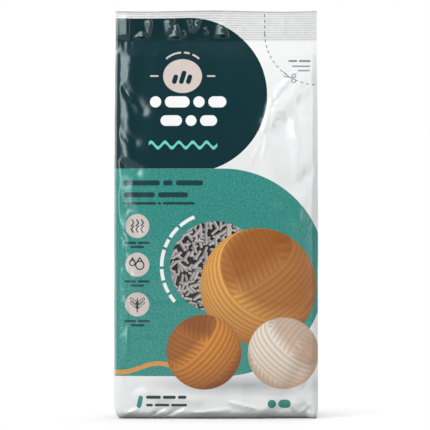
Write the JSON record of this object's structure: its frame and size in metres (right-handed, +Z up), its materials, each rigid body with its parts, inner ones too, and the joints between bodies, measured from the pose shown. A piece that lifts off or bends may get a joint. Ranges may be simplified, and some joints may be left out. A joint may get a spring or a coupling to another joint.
{
  "type": "cat litter bag",
  "caption": "Full, sealed plastic-film sack of cat litter with folded side gussets, corner fins and a crimped top seal, standing on its flat base.",
  "frame": {"origin": "middle of the base, on the surface that the bag stands on", "axes": "+Z up to the top seal, -Y out of the front panel, +X to the right of someone who looks at the front"},
  "size_m": [0.36, 0.1827, 0.726],
  "materials": {
    "printed_film": "glossy printed plastic film, soft creases"
  },
  "bodies": {
    "root": {"litter_bag": "printed_film"}
  },
  "joints": []
}
